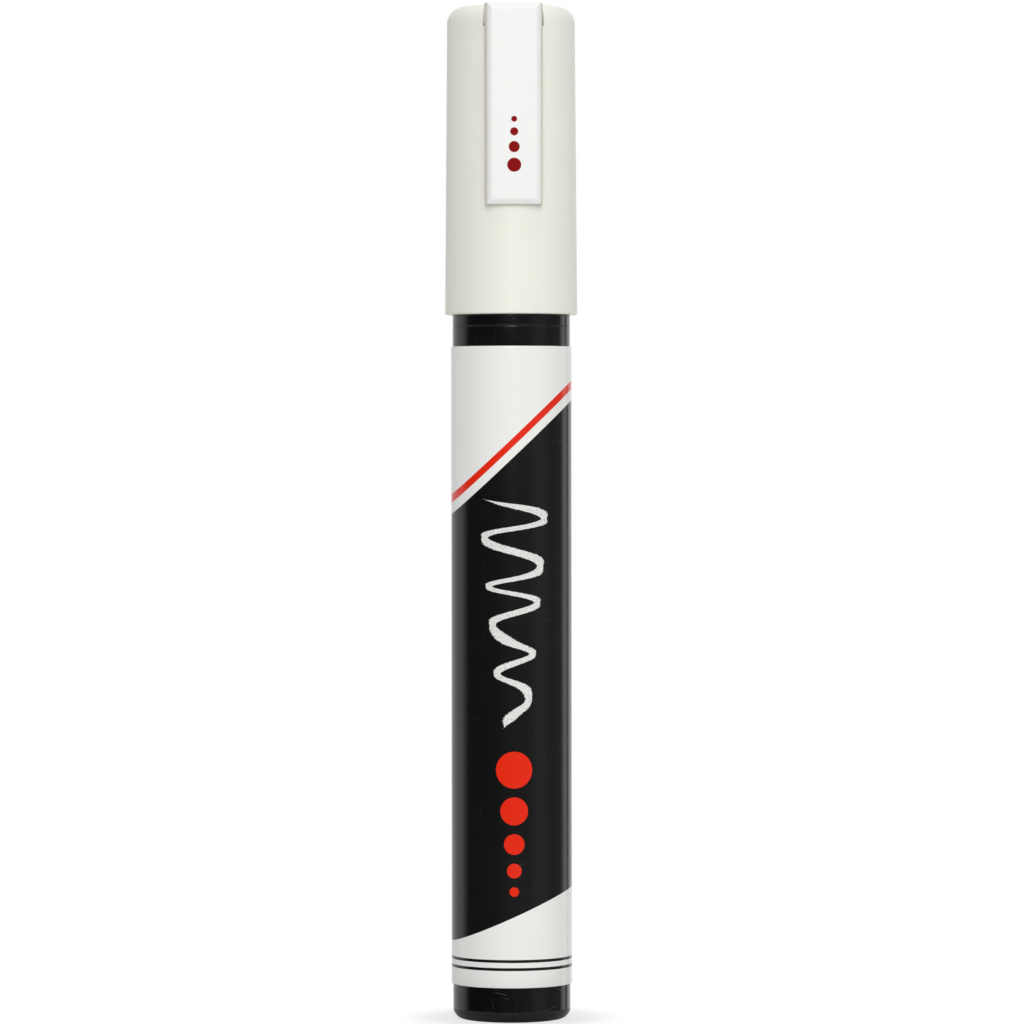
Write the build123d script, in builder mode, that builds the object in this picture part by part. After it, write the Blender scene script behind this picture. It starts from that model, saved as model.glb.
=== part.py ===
# Liquid chalk marker: a pull-off cap with a clip over a pump-action valve marker.
# Sizes are in millimetres. +Z runs up the axis from the flat foot to the cap, the origin is the centre of
# the foot, and the clip faces -Y. Radii follow from the diameters, and heights from the stacked lengths.

import math
import os

from build123d import *

# Barrel, which is the ink tank
barrel_length = 94.8
barrel_dia = 16.1
barrel_wall = 1.2
barrel_floor = 1.6
barrel_foot_radius = 1.5
barrel_corner_radius = 1.0
barrel_mouth_chamfer = 0.3
seam_radius = 0.12

# Printed film round the barrel
label_thickness = 0.18
label_glue_gap = 0.02
label_foot_margin = 4.85
label_mouth_margin = 2.75

# Front holder: plug in the barrel, flange, seat for the cap, sealing land and nose
plug_length = 10.0
plug_clearance = 0.05
plug_chamfer = 0.4
lock_bead_drop = 4.0
lock_bead_width = 1.2
lock_bead_height = 0.25
lock_bead_clearance = 0.06
flange_thickness = 1.6
flange_edge_radius = 0.2
seat_inset = 0.6
seat_length = 9.0
shoulder_height = 3.0
shoulder_radius = 0.8
land_wall = 1.7
land_length = 5.0
nose_length = 7.5
nose_wall = 0.7
nose_tip_radius = 0.35
snap_bead_rise = 3.0
snap_bead_width = 1.0
snap_bead_clearance = 0.05

# Nib and the ribbed ink channel that guides it
nib_dia = 4.4
nib_length = 24.0
nib_exposed = 6.5
nib_taper_length = 4.4
nib_tip_dia = 2.5
nib_tip_round_share = 0.88
nib_blend_radius = 4.0
nib_tail_chamfer = 0.3
nib_rib_count = 6
nib_rib_width = 0.7
nib_rib_clearance = 0.05
nib_channel_depth = 0.65
nib_rib_tail_gap = 2.0

# Valve unit: case, gasket, stem and spring
valve_wall = 0.75
valve_clearance = 0.03
gasket_thickness = 1.2
gasket_hole_clearance = 0.2
stem_reach = 1.6
stem_front_inset = 0.6
stem_tail_dia = 2.4
stem_head_gap = 1.2
stem_head_thickness = 1.5
stem_tip_chamfer = 0.3
case_length = 15.0
case_wall = 0.9
case_floor = 1.2
case_edge_chamfer = 0.3
guide_clearance = 0.15
ink_hole_count = 6
ink_hole_share = 0.82
spring_wire_dia = 0.6
spring_head_margin = 0.6
spring_turns = 6

# Mixing ball loose in the tank
ball_dia = 6.5
ball_clearance = 0.05

# Cap shell and its inner sealing cap
cap_rim_wall = 1.45
cap_draft = 0.325
cap_fit_clearance = 0.15
cap_bore_length = 14.0
cap_upper_wall = 1.5
cap_bore_step = 0.6
cap_crown = 0.15
cap_shoulder_radius = 2.2
cap_rim_radius = 0.3
cap_rim_chamfer = 0.35
cap_rib_count = 6
cap_rib_width = 0.9
cap_rib_clearance = 0.05
cap_rib_rise = 3.4
nib_headroom = 6.0
inner_cap_top = 1.0
inner_cap_wall = 0.8
inner_cap_play = 0.3
inner_cap_edge_radius = 0.5
seal_clearance = 0.05
seal_length = 1.5
seal_overlap = 3.5

# Clip and the notch in the cap's top that holds its root
clip_width = 7.4
clip_length = 27.18
clip_top_drop = 0.12
clip_thickness = 1.0
clip_standoff = 0.25
clip_flare = 0.25
clip_bevel_width = 0.65
clip_bevel_depth = 0.45
clip_bevel_softening = 0.5
clip_edge_radius = 0.15
clip_inner_radius = 0.8
clip_root_dia = 1.5
clip_root_reach = 4.125
clip_root_drop = 1.5
clip_root_seat = 0.45
clip_root_clearance = 0.05
clip_bridge_clearance = 0.15
clip_lip_gap = 0.2
clip_bridge_inset = 0.7
clip_heel_gap = 0.8
clip_grip_height = 0.1
clip_grip_length = 2.4
clip_grip_rise = 0.4
clip_slot = 0.1
notch_depth = 3.1
notch_floor = 1.0
notch_side_depth = 0.48
notch_edge_radius = 0.1

# Material shared by pieces that are fused, and how far a cut runs past what it cuts
fuse_overlap = 0.3
cut_overrun = 1.0

# Radii
barrel_radius = barrel_dia / 2
barrel_bore_radius = barrel_radius - barrel_wall
plug_radius = barrel_bore_radius - plug_clearance
valve_bore_radius = plug_radius - valve_wall
valve_radius = valve_bore_radius - valve_clearance
case_bore_radius = valve_radius - case_wall
stem_head_radius = case_bore_radius - stem_head_gap
stem_tail_radius = stem_tail_dia / 2
spring_outer_radius = stem_head_radius - spring_head_margin
spring_radius = spring_outer_radius - spring_wire_dia / 2
nib_radius = nib_dia / 2
stem_front_radius = nib_radius - stem_front_inset
gasket_hole_radius = nib_radius + gasket_hole_clearance
rib_inner_radius = nib_radius + nib_rib_clearance
channel_radius = rib_inner_radius + nib_channel_depth
nose_radius = channel_radius + nose_wall
land_radius = channel_radius + land_wall
seat_radius = barrel_radius - seat_inset
cap_bore_radius = seat_radius + cap_fit_clearance
cap_mouth_radius = cap_bore_radius + cap_rim_wall
cap_top_radius = cap_mouth_radius - cap_draft
cap_upper_radius = cap_top_radius - cap_upper_wall
seal_radius = land_radius + seal_clearance
inner_cap_bore_radius = seal_radius + inner_cap_play
inner_cap_radius = inner_cap_bore_radius + inner_cap_wall

# Heights, from the foot up to the top of the cap
plug_foot = barrel_length - plug_length
flange_top = barrel_length + flange_thickness
seat_top = flange_top + seat_length
land_foot = seat_top + shoulder_height
land_top = land_foot + land_length
nose_tip = land_top + nose_length
nib_tip = nose_tip + nib_exposed
nib_tail = nib_tip - nib_length
inner_ceiling = nib_tip + nib_headroom
cap_ceiling = inner_ceiling + inner_cap_top
cap_top = cap_ceiling + notch_floor + notch_depth
gasket_top = nib_tail - stem_reach
gasket_foot = gasket_top - gasket_thickness
case_foot = gasket_foot - case_length
case_floor_top = case_foot + case_floor
stem_head_foot = gasket_foot - stem_head_thickness

os.makedirs("parts", exist_ok=True)

# Barrel: a tube closed by a flat foot, with a groove near its mouth that locks the holder
with BuildPart() as barrel:
    with BuildSketch(Plane.XZ):
        with BuildLine():
            Polyline(
                (0, 0),
                (barrel_radius, 0),
                (barrel_radius, barrel_length),
                (barrel_bore_radius, barrel_length),
                (barrel_bore_radius, barrel_floor),
                (0, barrel_floor),
                close=True,
            )
        make_face()
    revolve(axis=Axis.Z)
    foot_face, floor_face, rim_face = barrel.faces().filter_by(Plane.XY).sort_by(Axis.Z)
    rim_inner_edge, rim_outer_edge = rim_face.edges().sort_by(SortBy.RADIUS)
    fillet(foot_face.edges(), radius=barrel_foot_radius)
    fillet(floor_face.edges(), radius=barrel_corner_radius)
    fillet(rim_outer_edge, radius=seam_radius)
    chamfer(rim_inner_edge, length=barrel_mouth_chamfer)
    groove_middle = barrel_length - lock_bead_drop
    groove_half = lock_bead_width / 2 + lock_bead_clearance
    groove_radius = barrel_bore_radius + lock_bead_height
    with BuildSketch(Plane.XZ):
        with BuildLine():
            Polyline(
                (barrel_bore_radius - lock_bead_height, groove_middle - groove_half - lock_bead_height),
                (groove_radius, groove_middle - groove_half + lock_bead_height),
                (groove_radius, groove_middle + groove_half - lock_bead_height),
                (barrel_bore_radius - lock_bead_height, groove_middle + groove_half + lock_bead_height),
                close=True,
            )
        make_face()
    revolve(axis=Axis.Z, mode=Mode.SUBTRACT)
barrel.part.label = "barrel"
export_step(barrel.part, "parts/barrel.step")

# Label: a closed sleeve of film between its two margins
with BuildPart() as label_sleeve:
    label_bore_radius = barrel_radius + label_glue_gap
    with BuildSketch(Plane.XY.offset(label_foot_margin)):
        Circle(label_bore_radius + label_thickness)
        Circle(label_bore_radius, mode=Mode.SUBTRACT)
    extrude(amount=barrel_length - label_mouth_margin - label_foot_margin)
label_sleeve.part.label = "label_sleeve"
export_step(label_sleeve.part, "parts/label_sleeve.step")

# Front holder: turned outline with a stepped bore, a bead that locks in the barrel, a bead under the cap
# and a ring of ribs that guide the nib and leave ink channels between them
with BuildPart() as front_holder:
    with BuildSketch(Plane.XZ):
        with BuildLine():
            Polyline(
                (valve_bore_radius, plug_foot),
                (plug_radius, plug_foot),
                (plug_radius, barrel_length),
                (barrel_radius, barrel_length),
                (barrel_radius, flange_top),
                (seat_radius, flange_top),
                (seat_radius, seat_top),
                (land_radius, land_foot),
                (land_radius, land_top),
                (nose_radius, nose_tip),
                (channel_radius, nose_tip),
                (channel_radius, gasket_top),
                (valve_bore_radius, gasket_top),
                close=True,
            )
        make_face()
    revolve(axis=Axis.Z)
    circles = front_holder.edges().filter_by(GeomType.CIRCLE)
    plug_lead_edge = circles.group_by(Axis.Z)[0].sort_by(SortBy.RADIUS)[-1]
    nose_tip_edge = circles.group_by(Axis.Z)[-1].sort_by(SortBy.RADIUS)[-1]
    flange_lower_edge, flange_upper_edge = circles.sort_by(SortBy.RADIUS)[-2:].sort_by(Axis.Z)
    shoulder_edge = circles.filter_by_position(Axis.Z, seat_top, seat_top)
    fillet(shoulder_edge, radius=shoulder_radius)
    fillet(flange_upper_edge, radius=flange_edge_radius)
    fillet(flange_lower_edge, radius=seam_radius)
    fillet(nose_tip_edge, radius=nose_tip_radius)
    chamfer(plug_lead_edge, length=plug_chamfer)
    lock_radius = barrel_bore_radius + lock_bead_height - lock_bead_clearance
    lock_rise = lock_radius - plug_radius
    snap_rise = cap_fit_clearance - snap_bead_clearance
    beads = (
        (plug_radius, barrel_length - lock_bead_drop, lock_bead_width / 2, lock_rise),
        (seat_radius, flange_top + snap_bead_rise, snap_bead_width / 2, snap_rise),
    )
    for wall_radius, middle, half_width, rise in beads:
        with BuildSketch(Plane.XZ):
            with BuildLine():
                Polyline(
                    (wall_radius - fuse_overlap, middle - half_width),
                    (wall_radius, middle - half_width),
                    (wall_radius + rise, middle - half_width + rise),
                    (wall_radius + rise, middle + half_width - rise),
                    (wall_radius, middle + half_width),
                    (wall_radius - fuse_overlap, middle + half_width),
                    close=True,
                )
            make_face()
        revolve(axis=Axis.Z)
    rib_outer_radius = channel_radius + fuse_overlap
    rib_foot = nib_tail + nib_rib_tail_gap
    with BuildSketch(Plane.XY.offset(rib_foot)):
        with PolarLocations((rib_inner_radius + rib_outer_radius) / 2, nib_rib_count):
            Rectangle(rib_outer_radius - rib_inner_radius, nib_rib_width)
    extrude(amount=nose_tip - nose_tip_radius - rib_foot)
front_holder.part.label = "front_holder"
export_step(front_holder.part, "parts/front_holder.step")

# Valve case: a cup pressed up the holder's bore, with ink holes and a guide hole in its floor
with BuildPart() as valve_case:
    with BuildSketch(Plane.XZ):
        with BuildLine():
            Polyline(
                (0, case_foot),
                (valve_radius, case_foot),
                (valve_radius, gasket_foot),
                (case_bore_radius, gasket_foot),
                (case_bore_radius, case_floor_top),
                (0, case_floor_top),
                close=True,
            )
        make_face()
    revolve(axis=Axis.Z)
    chamfer(valve_case.faces().sort_by(Axis.Z)[0].edges(), length=case_edge_chamfer)
    with Locations((0, 0, case_floor_top)):
        Hole(stem_tail_radius + guide_clearance)
    ink_circle_radius = (spring_outer_radius + case_bore_radius) / 2
    ink_ring_width = case_bore_radius - spring_outer_radius
    with Locations((0, 0, case_floor_top)):
        with PolarLocations(ink_circle_radius, ink_hole_count):
            Hole(ink_ring_width * ink_hole_share / 2)
valve_case.part.label = "valve_case"
export_step(valve_case.part, "parts/valve_case.step")

# Valve gasket: a rubber washer clamped between the holder's step and the case's rim
with BuildPart() as valve_gasket:
    with BuildSketch(Plane.XY.offset(gasket_foot)):
        Circle(valve_radius)
        Circle(gasket_hole_radius, mode=Mode.SUBTRACT)
    extrude(amount=gasket_thickness)
valve_gasket.part.label = "valve_gasket"
export_step(valve_gasket.part, "parts/valve_gasket.step")

# Valve stem: a head that shuts against the gasket, a front rod up to the nib and a tail in the case's guide
with BuildPart() as valve_stem:
    with BuildSketch(Plane.XZ):
        with BuildLine():
            Polyline(
                (0, case_foot),
                (stem_tail_radius, case_foot),
                (stem_tail_radius, stem_head_foot),
                (stem_head_radius, stem_head_foot),
                (stem_head_radius, gasket_foot),
                (stem_front_radius, gasket_foot),
                (stem_front_radius, nib_tail),
                (0, nib_tail),
                close=True,
            )
        make_face()
    revolve(axis=Axis.Z)
    chamfer(valve_stem.faces().sort_by(Axis.Z)[0].edges(), length=stem_tip_chamfer)
valve_stem.part.label = "valve_stem"
export_step(valve_stem.part, "parts/valve_stem.step")


# Valve spring: one wire wound on a helix, each quarter turn laid out as two tangent arcs
def coil_point(turn):
    angle = math.radians(360 * turn)
    height = case_floor_top + spring_wire_dia / 2 + spring_pitch * turn
    return Vector(spring_radius * math.cos(angle), spring_radius * math.sin(angle), height)


def coil_tangent(turn):
    angle = math.radians(360 * turn)
    run = 2 * math.pi * spring_radius
    return Vector(-run * math.sin(angle), run * math.cos(angle), spring_pitch).normalized()


def lay_quarter_turn(start, end):
    p0, p1 = coil_point(start), coil_point(end)
    t0, t1 = coil_tangent(start), coil_tangent(end)
    chord, tangents = p1 - p0, t0 + t1
    bend = 2 * (1 - t0.dot(t1))
    along = chord.dot(tangents)
    reach = (math.sqrt(along**2 + bend * chord.dot(chord)) - along) / bend
    middle = (p0 + p1 + (t0 - t1) * reach) / 2
    first_chord = (middle - p0).normalized()
    middle_tangent = first_chord * (2 * t0.dot(first_chord)) - t0
    TangentArc(p0, middle, tangent=t0)
    TangentArc(middle, p1, tangent=middle_tangent)


quarters_per_turn = 4
spring_pitch = (stem_head_foot - case_floor_top - spring_wire_dia) / spring_turns
with BuildPart() as valve_spring:
    with BuildLine() as coil:
        for quarter in range(spring_turns * quarters_per_turn):
            lay_quarter_turn(quarter / quarters_per_turn, (quarter + 1) / quarters_per_turn)
    with BuildSketch(Plane(origin=coil_point(0), z_dir=coil_tangent(0))):
        Circle(spring_wire_dia / 2)
    sweep(path=coil.wires()[0])
valve_spring.part.label = "valve_spring"
export_step(valve_spring.part, "parts/valve_spring.step")
coil_steps_per_turn = 48
coil_points = [coil_point(n / coil_steps_per_turn) for n in range(spring_turns * coil_steps_per_turn + 1)]
coil_gap = min(
    (a - b).length - spring_wire_dia
    for n, a in enumerate(coil_points)
    for b in coil_points[n + coil_steps_per_turn // 2 :]
)
print("valve spring: least gap between turns", round(coil_gap, 3), "mm")

# Nib: a fibre rod with a tapered bullet point
with BuildPart() as nib:
    nib_shoulder = nib_tip - nib_taper_length
    with BuildSketch(Plane.XZ):
        with BuildLine():
            Polyline(
                (0, nib_tail),
                (nib_radius, nib_tail),
                (nib_radius, nib_shoulder),
                (nib_tip_dia / 2, nib_tip),
                (0, nib_tip),
                close=True,
            )
        make_face()
    revolve(axis=Axis.Z)
    tail_edge, shoulder_edge, tip_edge = nib.edges().filter_by(GeomType.CIRCLE).sort_by(Axis.Z)
    fillet(tip_edge, radius=nib_tip_dia / 2 * nib_tip_round_share)
    fillet(shoulder_edge, radius=nib_blend_radius)
    chamfer(tail_edge, length=nib_tail_chamfer)
nib.part.label = "nib"
export_step(nib.part, "parts/nib.step")

# Mixing ball: a steel ball resting on the tank's floor
with BuildPart() as mixing_ball:
    with Locations((0, 0, barrel_floor + ball_clearance + ball_dia / 2)):
        Sphere(ball_dia / 2)
mixing_ball.part.label = "mixing_ball"
export_step(mixing_ball.part, "parts/mixing_ball.step")


# Clip places, shared by the clip and by the notch and socket that its root snaps into
def cap_radius_at(height):
    height_share = (height - flange_top) / (cap_top - flange_top)
    return cap_mouth_radius - cap_draft * height_share


clip_top = cap_top - clip_top_drop
clip_foot = clip_top - clip_length
clip_root_setback = cap_top_radius - clip_root_reach
clip_back = cap_radius_at(clip_foot) + clip_standoff
clip_front = clip_back + clip_thickness
root_radius = clip_root_dia / 2
root_height = cap_top - clip_root_drop
socket_radius = root_radius + clip_root_clearance
ledge_top = root_height - socket_radius + clip_root_seat
bridge_foot = ledge_top + clip_bridge_clearance
bridge_half = clip_width / 2 - clip_bridge_inset
clip_half = clip_width / 2 + clip_flare
socket_half = bridge_half + clip_slot
notch_half = clip_half + clip_slot
notch_front = math.sqrt(cap_top_radius**2 - notch_half**2) - notch_side_depth
bridge_shoulder = notch_front + clip_heel_gap

# Cap shell: a tapered tube with a crowned top, a bore that slides on the holder's seat, ribs round the
# inner cap, and a notch in the top edge that ends in the round socket of the clip
with BuildPart() as cap_shell:
    crown_edge = cap_top - cap_crown
    with BuildSketch(Plane.XZ):
        with BuildLine():
            Polyline(
                (0, cap_top),
                (0, flange_top),
                (cap_mouth_radius, flange_top),
                (cap_top_radius, crown_edge),
            )
            TangentArc((0, cap_top), (cap_top_radius, crown_edge), tangent=(1, 0))
        make_face()
    revolve(axis=Axis.Z)
    mouth_edge, crown_rim = cap_shell.edges().filter_by(lambda edge: edge.is_closed).sort_by(Axis.Z)
    fillet(crown_rim, radius=cap_shoulder_radius)
    fillet(mouth_edge, radius=cap_rim_radius)
    bore_top = flange_top + cap_bore_length
    with BuildSketch(Plane.XZ):
        with BuildLine():
            Polyline(
                (0, flange_top - cut_overrun),
                (cap_bore_radius, flange_top - cut_overrun),
                (cap_bore_radius, bore_top),
                (cap_upper_radius, bore_top + cap_bore_step),
                (cap_upper_radius, cap_ceiling),
                (0, cap_ceiling),
                close=True,
            )
        make_face()
    revolve(axis=Axis.Z, mode=Mode.SUBTRACT)
    rim_edges = cap_shell.faces().sort_by(Axis.Z)[0].edges()
    chamfer(rim_edges.sort_by(SortBy.RADIUS)[0], length=cap_rim_chamfer)
    cap_rib_inner = inner_cap_radius + cap_rib_clearance
    cap_rib_outer = cap_upper_radius + fuse_overlap
    cap_rib_foot = bore_top + cap_bore_step + cap_rib_rise
    with BuildSketch(Plane.XY.offset(cap_rib_foot)):
        with PolarLocations((cap_rib_inner + cap_rib_outer) / 2, cap_rib_count):
            Rectangle(cap_rib_outer - cap_rib_inner, cap_rib_width)
    extrude(amount=cap_ceiling - cap_rib_foot)
    notches = ((notch_front, cap_top - notch_depth, notch_half), (clip_root_setback, ledge_top, socket_half))
    for notch_back, notch_foot, half_width in notches:
        with BuildSketch(Plane.YZ):
            with BuildLine():
                Polyline(
                    (-notch_back, notch_foot),
                    (-notch_back, cap_top + cut_overrun),
                    (-cap_mouth_radius - cut_overrun, cap_top + cut_overrun),
                    (-cap_mouth_radius - cut_overrun, notch_foot),
                    close=True,
                )
            make_face()
        extrude(amount=half_width, both=True, mode=Mode.SUBTRACT)
    with BuildSketch(Plane.YZ):
        with Locations((-clip_root_setback, root_height)):
            Circle(socket_radius)
    extrude(amount=socket_half, both=True, mode=Mode.SUBTRACT)
    curved_edges = cap_shell.edges().filter_by(GeomType.BSPLINE)
    left_edges = curved_edges.filter_by_position(Axis.X, -notch_half, -notch_half)
    right_edges = curved_edges.filter_by_position(Axis.X, notch_half, notch_half)
    fillet(left_edges + right_edges, radius=notch_edge_radius)
cap_shell.part.label = "cap_shell"
export_step(cap_shell.part, "parts/cap_shell.step")

# Inner cap: a soft cup under the cap's ceiling whose lip seals on the holder's land
with BuildPart() as inner_cap:
    seal_foot = land_top - seal_overlap
    seal_top = seal_foot + seal_length
    with BuildSketch(Plane.XZ):
        with BuildLine():
            Polyline(
                (seal_radius, seal_foot),
                (inner_cap_radius, seal_foot),
                (inner_cap_radius, cap_ceiling),
                (0, cap_ceiling),
                (0, inner_ceiling),
                (inner_cap_bore_radius, inner_ceiling),
                (inner_cap_bore_radius, seal_top + inner_cap_play),
                (seal_radius, seal_top),
                close=True,
            )
        make_face()
    revolve(axis=Axis.Z)
    inner_cap_rim = inner_cap.faces().sort_by(Axis.Z)[0].edges().sort_by(SortBy.RADIUS)[-1]
    inner_cap_crown = inner_cap.faces().sort_by(Axis.Z)[-1].edges()
    fillet(inner_cap_crown, radius=inner_cap_edge_radius)
    fillet(inner_cap_rim, radius=inner_cap_edge_radius)
inner_cap.part.label = "inner_cap"
export_step(inner_cap.part, "parts/inner_cap.step")

# Clip: an arm with a bevelled front, flared sides and a back hollowed to follow the cap, with a grip ridge
# behind its foot, on a narrower bridge with a round root
with BuildPart() as cap_clip:
    bridge_end = clip_root_setback + clip_lip_gap
    bevel_base = clip_front - clip_bevel_depth
    grip_foot = clip_foot + clip_grip_rise
    grip_middle = grip_foot + clip_grip_length / 2
    grip_top = grip_foot + clip_grip_length
    arm_depth = bevel_base - bridge_shoulder
    flare_angle = math.degrees(math.atan2(clip_flare, arm_depth))
    with BuildSketch(Plane.XZ.offset(bridge_shoulder)):
        with BuildLine():
            Polyline(
                (-clip_half, clip_foot - cut_overrun),
                (clip_half, clip_foot - cut_overrun),
                (clip_half, clip_top + cut_overrun),
                (-clip_half, clip_top + cut_overrun),
                close=True,
            )
        make_face()
    extrude(amount=arm_depth, taper=flare_angle)
    split(bisect_by=Plane.XY.offset(clip_top), keep=Keep.BOTTOM)
    split(bisect_by=Plane.XY.offset(clip_foot), keep=Keep.TOP)
    with BuildSketch(Plane.XZ) as hollow:
        with BuildLine():
            Polyline(
                (cap_radius_at(grip_top) + clip_standoff, grip_top),
                (cap_radius_at(bridge_foot) + clip_standoff, bridge_foot),
                (0, bridge_foot),
                (0, clip_foot - cut_overrun),
                (clip_back, clip_foot - cut_overrun),
                (clip_back, clip_foot),
                (cap_radius_at(grip_foot) + clip_standoff, grip_foot),
            )
            ThreePointArc(
                (cap_radius_at(grip_foot) + clip_standoff, grip_foot),
                (cap_radius_at(grip_middle) + clip_standoff - clip_grip_height, grip_middle),
                (cap_radius_at(grip_top) + clip_standoff, grip_top),
            )
        make_face()
        fillet(hollow.vertices().group_by(Axis.Y)[-1].sort_by(Axis.X)[-1], radius=clip_inner_radius)
    revolve(axis=Axis.Z, mode=Mode.SUBTRACT)
    with BuildSketch(Plane.YZ):
        with BuildLine():
            Polyline(
                (-bridge_end, clip_top),
                (-bridge_shoulder - fuse_overlap, clip_top),
                (-bridge_shoulder - fuse_overlap, bridge_foot),
                (-bridge_end, bridge_foot),
                close=True,
            )
        make_face()
        with Locations((-clip_root_setback, root_height)):
            Circle(root_radius)
    extrude(amount=bridge_half, both=True)
    front_face = cap_clip.faces().sort_by(Axis.Y)[0]
    bevel_angle = math.degrees(math.atan2(clip_bevel_width, clip_bevel_depth))
    extrude(front_face, amount=clip_bevel_depth, taper=bevel_angle)
    fillet(cap_clip.faces().sort_by(Axis.Y)[0].edges(), radius=clip_bevel_softening)
    fillet(cap_clip.edges().filter_by_position(Axis.Y, -bevel_base, -bevel_base), radius=clip_edge_radius)
cap_clip.part.label = "cap_clip"
export_step(cap_clip.part, "parts/cap_clip.step")

marker_height = round(cap_top, 3)
print("marker height", marker_height, "mm; cap length", round(cap_top - flange_top, 3), "mm")
print("clip pivot y, z", round(-clip_root_setback, 3), round(root_height, 3), "front", round(-clip_front, 3))
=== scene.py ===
import math

import bmesh
import bpy
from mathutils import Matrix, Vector


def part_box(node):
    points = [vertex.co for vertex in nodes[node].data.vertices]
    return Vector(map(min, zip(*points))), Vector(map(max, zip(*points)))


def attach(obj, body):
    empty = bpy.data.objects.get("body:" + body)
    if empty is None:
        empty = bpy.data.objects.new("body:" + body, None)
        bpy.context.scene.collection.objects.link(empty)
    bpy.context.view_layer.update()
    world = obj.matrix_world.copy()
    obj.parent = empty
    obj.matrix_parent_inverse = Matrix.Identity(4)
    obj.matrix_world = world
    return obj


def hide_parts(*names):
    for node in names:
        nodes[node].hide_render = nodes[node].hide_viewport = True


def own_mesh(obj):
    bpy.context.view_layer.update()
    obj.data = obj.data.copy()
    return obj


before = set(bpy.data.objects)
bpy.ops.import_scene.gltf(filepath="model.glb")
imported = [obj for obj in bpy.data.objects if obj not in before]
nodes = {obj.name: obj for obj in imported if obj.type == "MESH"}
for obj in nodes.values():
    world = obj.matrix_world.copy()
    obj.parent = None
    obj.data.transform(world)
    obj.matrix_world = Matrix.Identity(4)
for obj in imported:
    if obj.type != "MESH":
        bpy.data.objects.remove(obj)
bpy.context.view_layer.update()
scene = bpy.context.scene
mm = 0.001
fullTurn = 2 * math.pi


# Small helpers for node trees

def addNode(tree, kind, inputs=None, **settings):
    node = tree.nodes.new("ShaderNode" + kind)
    for name, value in settings.items():
        setattr(node, name, value)
    for name, value in (inputs or {}).items():
        feed(tree, node.inputs[name], value)
    return node


def feed(tree, socket, value):
    if isinstance(value, bpy.types.NodeSocket):
        tree.links.new(value, socket)
    else:
        socket.default_value = value


def calc(tree, operation, a, b=0.0, c=0.0, clamp=False):
    node = addNode(tree, "Math", operation=operation, use_clamp=clamp)
    for socket, value in zip(node.inputs, (a, b, c)):
        feed(tree, socket, value)
    return node.outputs[0]


def times(tree, a, b):
    return calc(tree, "MULTIPLY", a, b)


def plus(tree, a, b, clamp=False):
    return calc(tree, "ADD", a, b, clamp=clamp)


def minus(tree, a, b):
    return calc(tree, "SUBTRACT", a, b)


def larger(tree, a, b):
    return calc(tree, "MAXIMUM", a, b)


def magnitude(tree, value):
    return calc(tree, "ABSOLUTE", value)


def length(tree, a, b):
    return calc(tree, "SQRT", plus(tree, times(tree, a, a), times(tree, b, b)))


def anyOf(tree, masks):
    total = masks[0]
    for mask in masks[1:]:
        total = larger(tree, total, mask)
    return total


def opaque(colour):
    return (*colour, 1)


def blendColour(tree, share, under, over, mode="MIX"):
    node = addNode(tree, "Mix", data_type="RGBA", blend_type=mode)
    for socket, value in zip((node.inputs[0], node.inputs[6], node.inputs[7]), (share, under, over)):
        feed(tree, socket, value)
    return node.outputs[2]


def blendValue(tree, share, under, over):
    node = addNode(tree, "Mix", data_type="FLOAT")
    for socket, value in zip((node.inputs[0], node.inputs[2], node.inputs[3]), (share, under, over)):
        feed(tree, socket, value)
    return node.outputs[0]


def ramp(tree, value, fromLow, fromHigh, toLow=0.0, toHigh=1.0, smooth=True):
    node = addNode(tree, "MapRange", interpolation_type="SMOOTHSTEP" if smooth else "LINEAR")
    for socket, number in zip(node.inputs, (value, fromLow, fromHigh, toLow, toHigh)):
        feed(tree, socket, number)
    return node.outputs[0]


def noise(tree, place, scale, detail=2.0, roughness=0.5, dimensions="3D"):
    inputs = {"Vector": place, "Scale": scale, "Detail": detail, "Roughness": roughness}
    return addNode(tree, "TexNoise", inputs, noise_dimensions=dimensions).outputs["Fac"]


def vector(tree, operation, a, b):
    return addNode(tree, "VectorMath", {0: a, 1: b}, operation=operation).outputs[0]


def joined(tree, x, y, z):
    return addNode(tree, "CombineXYZ", {"X": x, "Y": y, "Z": z}).outputs[0]


def parted(tree, value):
    return addNode(tree, "SeparateXYZ", {"Vector": value}).outputs


def objectPlace(tree):
    return addNode(tree, "TexCoord").outputs["Object"]


def newGroup(name, inputs, outputs):
    group = bpy.data.node_groups.new(name, "ShaderNodeTree")
    for label, kind, value in inputs:
        socket = group.interface.new_socket(label, in_out="INPUT", socket_type="NodeSocket" + kind)
        socket.default_value = value
    for label, kind in outputs:
        group.interface.new_socket(label, in_out="OUTPUT", socket_type="NodeSocket" + kind)
    return group, group.nodes.new("NodeGroupInput").outputs, group.nodes.new("NodeGroupOutput").inputs


def useGroup(tree, group, inputs=None):
    node = tree.nodes.new("ShaderNodeGroup")
    node.node_tree = group
    for name, value in (inputs or {}).items():
        feed(tree, node.inputs[name], value)
    return node.outputs


def newMaterial(name, inputs):
    material = bpy.data.materials.new(name)
    material.use_nodes = True
    tree = material.node_tree
    tree.nodes.clear()
    shader = addNode(tree, "BsdfPrincipled", inputs)
    output = addNode(tree, "OutputMaterial")
    tree.links.new(shader.outputs["BSDF"], output.inputs["Surface"])
    return material, tree, shader


def feeding(shader, name):
    return shader.inputs[name].links[0].from_socket


def addBump(tree, shader, height):  # height in mm
    bump = addNode(tree, "Bump", {"Height": height, "Strength": 1.0, "Distance": mm})
    tree.links.new(bump.outputs["Normal"], shader.inputs["Normal"])


# Shared effects

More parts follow.
